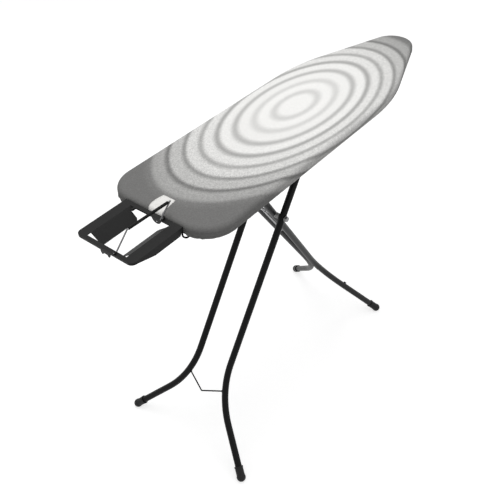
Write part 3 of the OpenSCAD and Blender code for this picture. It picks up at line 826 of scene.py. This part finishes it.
outer_tilt = 35.66
inner_tilt = 32.03
inner_splay = 38.8
pivot_height, foot_height = 911, 12
slide_pivot = from_board(599, 0, pivot_height)
fixed_pivot = from_board(296, 0, pivot_height)
inner_length = (pivot_height - foot_height) / cos(radians(inner_tilt))
foot_reach = 0.1983
stud_along = 0.139
stud_radius, stud_depth, stud_middle = 0.0055, 0.006, 0.0105
bpy.ops.mesh.primitive_cylinder_add(vertices=32, radius=stud_radius, depth=stud_depth, location=(0, 0, stud_middle))
tube_stud = bpy.context.active_object
tube_stud.name = tube_stud.data.name = "push_in_stud"
bpy.ops.object.transform_apply()
pick_top(tube_stud)
draw_up((0.0008, 0.94), (0.0007, 0.82), (0.0004, 0.6), (0.0001, 0.3))
bpy.ops.object.mode_set(mode="OBJECT")
bpy.ops.object.shade_smooth_by_angle(angle=radians(40))
stud_y = -(foot_reach - stud_along * tan(radians(inner_splay)))
stud_place = Matrix.Translation(Vector((0, stud_y, stud_along - inner_length / 1000)))
tube_stud.data.transform(on_leg(fixed_pivot, -inner_tilt) @ stud_place @ Matrix.Rotation(pi / 2, 4, "Y"))
tube_stud.data.materials.append(black_plastic)
tube_stud.select_set(False)
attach(tube_stud, "inner_legs")
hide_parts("tube_stud")


# ---- plugs in the tops of the leg tubes ----
# Each leg tube is closed at the top by a plug of black polypropylene, pushed in as far as its broad head, which
# has a shallow dish in its end.
outer_tube_y = 65.5
inner_tube_y, inner_heading = 44.6, 2.67
tube_heads = {
    "plug_outer_left": (slide_pivot, outer_tilt, outer_tube_y, 0, "outer_legs"),
    "plug_outer_right": (slide_pivot, outer_tilt, -outer_tube_y, 0, "outer_legs"),
    "plug_inner_left": (fixed_pivot, -inner_tilt, inner_tube_y, inner_heading, "inner_legs"),
    "plug_inner_right": (fixed_pivot, -inner_tilt, -inner_tube_y, -inner_heading, "inner_legs"),
}
plug_radius, plug_depth, plug_middle = 0.0094, 0.009, 0.0085
bpy.ops.mesh.primitive_cylinder_add(vertices=40, radius=plug_radius, depth=plug_depth, location=(0, 0, plug_middle))
tube_plug = bpy.context.active_object
bpy.ops.object.transform_apply()
pick_top(tube_plug)
draw_up((0.0001, 1.14), (0.0012, 1), (0.0008, 0.86))
bpy.ops.mesh.inset(thickness=0.003, depth=0.0002)
bpy.ops.mesh.inset(thickness=0.0006, depth=-0.0008)
bpy.ops.object.mode_set(mode="OBJECT")
plug_edge = tube_plug.modifiers.new("edge", "BEVEL")
plug_edge.width = 0.0003
plug_edge.segments = 2
bpy.ops.object.modifier_apply(modifier="edge")
bpy.ops.object.shade_smooth_by_angle(angle=radians(40))
plug_mesh = tube_plug.data
bpy.data.objects.remove(tube_plug)
for name, (pivot, tilt, across_tube, heading, body) in tube_heads.items():
    plug = bpy.data.objects.new(name, plug_mesh.copy())
    plug.data.name = name
    on_axle = on_leg(pivot, tilt) @ Matrix.Translation((0, across_tube / 1000, 0))
    plug.data.transform(on_axle @ Matrix.Rotation(radians(-heading), 4, "X"))
    plug.data.materials.append(black_plastic)
    scene.collection.objects.link(plug)
    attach(plug, body)


# ---- weld beads at the ends of the braces ----
# The bent wires between the legs are welded to the tubes, and each end has a small uneven collar of weld metal
# under the same coat as the tube.
def weld_bead(name, place, along, size, matrix, coat, body):
    """A collar round a brace's end: its place on the leg in millimetres, and the way that the wire leaves it."""
    bpy.ops.mesh.primitive_torus_add(major_radius=size, minor_radius=size * 0.42,
                                     major_segments=28, minor_segments=10)
    bead = bpy.context.active_object
    bead.name = bead.data.name = name
    bpy.ops.object.mode_set(mode="EDIT")
    bpy.ops.mesh.select_all(action="SELECT")
    bpy.ops.transform.vertex_random(offset=size * 0.10, seed=3)
    bpy.ops.mesh.vertices_smooth(factor=0.4, repeat=2)
    bpy.ops.object.mode_set(mode="OBJECT")
    bpy.ops.object.shade_smooth()
    turn = Vector(along).to_track_quat("Z", "Y").to_matrix().to_4x4()
    bead.data.transform(matrix @ Matrix.Translation(Vector(place) / 1000) @ turn)
    bead.data.materials.append(coat)
    bead.select_set(False)
    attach(bead, body)


for side, word in ((1, "left"), (-1, "right")):
    weld_bead("weld_outer_" + word, (-2.2, side * 69.6, -886.7), (9, side * 71, 35), 0.0030,
              on_leg(slide_pivot, outer_tilt), outer_coat, "outer_legs")
    weld_bead("weld_inner_" + word, (-0.4, side * 11.6, -798.8), (3, side * 13, 28), 0.0026,
              on_leg(fixed_pivot, -inner_tilt), inner_coat, "inner_legs")


# ---- push-on clips at the ends of the sliding axle ----
# The rollers are kept on the sliding axle by two domed clips of zinc-plated spring steel, which are pushed on to
# the axle's ends and hold by their grip.
clip_radius, clip_thickness = 0.0085, 0.0007
clip_y = 0.1018
for side, word in ((1, "left"), (-1, "right")):
    bpy.ops.mesh.primitive_cylinder_add(vertices=36, radius=clip_radius, depth=clip_thickness, location=(0, 0, 0))
    clip = bpy.context.active_object
    clip.name = clip.data.name = "axle_clip_" + word
    pick_top(clip)
    bpy.ops.mesh.inset(thickness=0.0016)
    draw_up((0.0010, 0.93), (0.0007, 0.80), (0.0003, 0.55))
    bpy.ops.object.mode_set(mode="OBJECT")
    bpy.ops.object.shade_smooth_by_angle(angle=radians(40))
    turn = Matrix.Rotation(radians(-90 * side), 4, "X")
    clip.data.transform(Matrix.Translation(slide_pivot + Vector((0, side * clip_y, 0))) @ turn)
    clip.data.materials.append(bright_zinc)
    clip.select_set(False)
    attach(clip, "outer_legs")


# ---- return spring of the release lever ----
# A small torsion spring of bright steel wire has three and a half turns round the lever's pin and a straight arm
# at each end. It presses the lever back down.
spring_radius = 0.0042
spring_length = 0.0044
coil_steps, steps_in_turn = 84, 24
lever_low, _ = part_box("lever_pin")
coil_start = Vector((lever_low.x + 0.0070, -0.116, 0.9295))
coil = []
for k in range(coil_steps + 1):
    a = k * 2 * pi / steps_in_turn
    coil.append(coil_start + Vector((spring_length * k / coil_steps, spring_radius * cos(a), spring_radius * sin(a))))
arm_up = [coil[0] + Vector((0, 0.0002, -0.0045)), coil[0] + Vector((0, 0.0001, -0.0022))]
arm_down = [coil[-1] + Vector((0, -0.0040, 0.0004)), coil[-1] + Vector((0, -0.0080, 0.0006))]
lever_spring = sew("lever_spring", [arm_up + coil + arm_down], thickness=0.0010)
lever_spring.data.materials.append(bright_zinc)
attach(lever_spring, "board")
